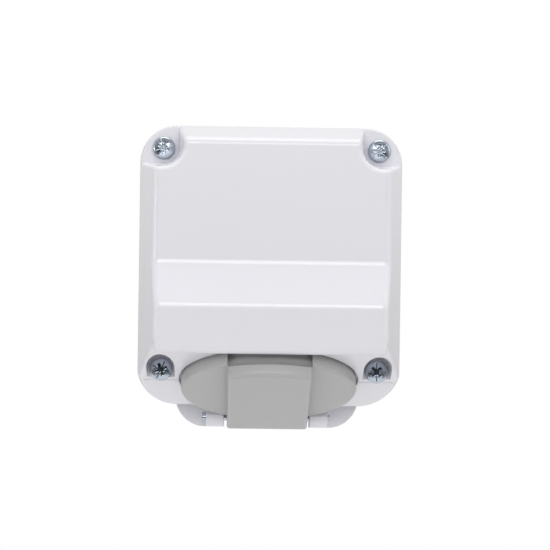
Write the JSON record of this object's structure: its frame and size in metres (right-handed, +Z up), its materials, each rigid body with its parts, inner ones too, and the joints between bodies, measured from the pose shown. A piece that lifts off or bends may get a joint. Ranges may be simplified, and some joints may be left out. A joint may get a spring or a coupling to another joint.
{
  "type": "outdoor weatherproof socket",
  "caption": "Surface-mounted weatherproof wall socket: white box and stepped hood, with a sprung grey round lid under the overhang that covers an earthed outlet.",
  "frame": {"origin": "on the wall face, midway between the body's sides", "axes": "+X right seen from the front, +Y into the wall, +Z up"},
  "size_m": [0.092, 0.0699, 0.1073],
  "materials": {
    "white_plastic": "fine moulded satin, white",
    "grey_plastic": "fine moulded satin, mid grey",
    "zinc_steel": "bright zinc plating with a blue cast",
    "spring_steel": "bright drawn wire",
    "rubber": "matt black moulded rubber",
    "brass": "stamped and turned brass",
    "outlet_plastic": "smooth moulded grey",
    "carrier_plastic": "matt moulded black",
    "shutter_plastic": "smooth natural plastic"
  },
  "bodies": {
    "base": {"base_box": "white_plastic", "cover": "white_plastic", "cover_gasket": "rubber", "cover_screws": "zinc_steel", "cable_grommet": "rubber", "hinge_pin": "zinc_steel", "lid_spring": "spring_steel", "collar_seal": "rubber", "socket_cup": "outlet_plastic", "socket_screws": "zinc_steel", "contact_carrier": "carrier_plastic", "centre_screw": "zinc_steel", "live_contact": "brass", "neutral_contact": "brass", "earth_strap": "brass", "terminal_screws": "zinc_steel", "shutter_spring": "spring_steel"},
    "lid": {"lid": "grey_plastic", "lid_seal": "rubber"},
    "shutter": {"shutter": "shutter_plastic"}
  },
  "joints": [
    {"name": "lid_hinge", "type": "hinge", "parent": "base", "child": "lid", "pos_m": [0, -0.00888, -0.05509], "axis": [1, 0, 0], "range_deg": [0, 100], "stiffness_Nm_per_rad": 0.012, "springref_deg": -68.75, "deforming": ["lid_spring"]},
    {"name": "shutter_turn", "type": "hinge", "parent": "base", "child": "shutter", "pos_m": [0, -0.038, -0.0444], "axis": [0, 0.3746, 0.9272], "range_deg": [0, 40], "stiffness_Nm_per_rad": 0.002, "springref_deg": -22.92, "deforming": ["shutter_spring"]}
  ]
}
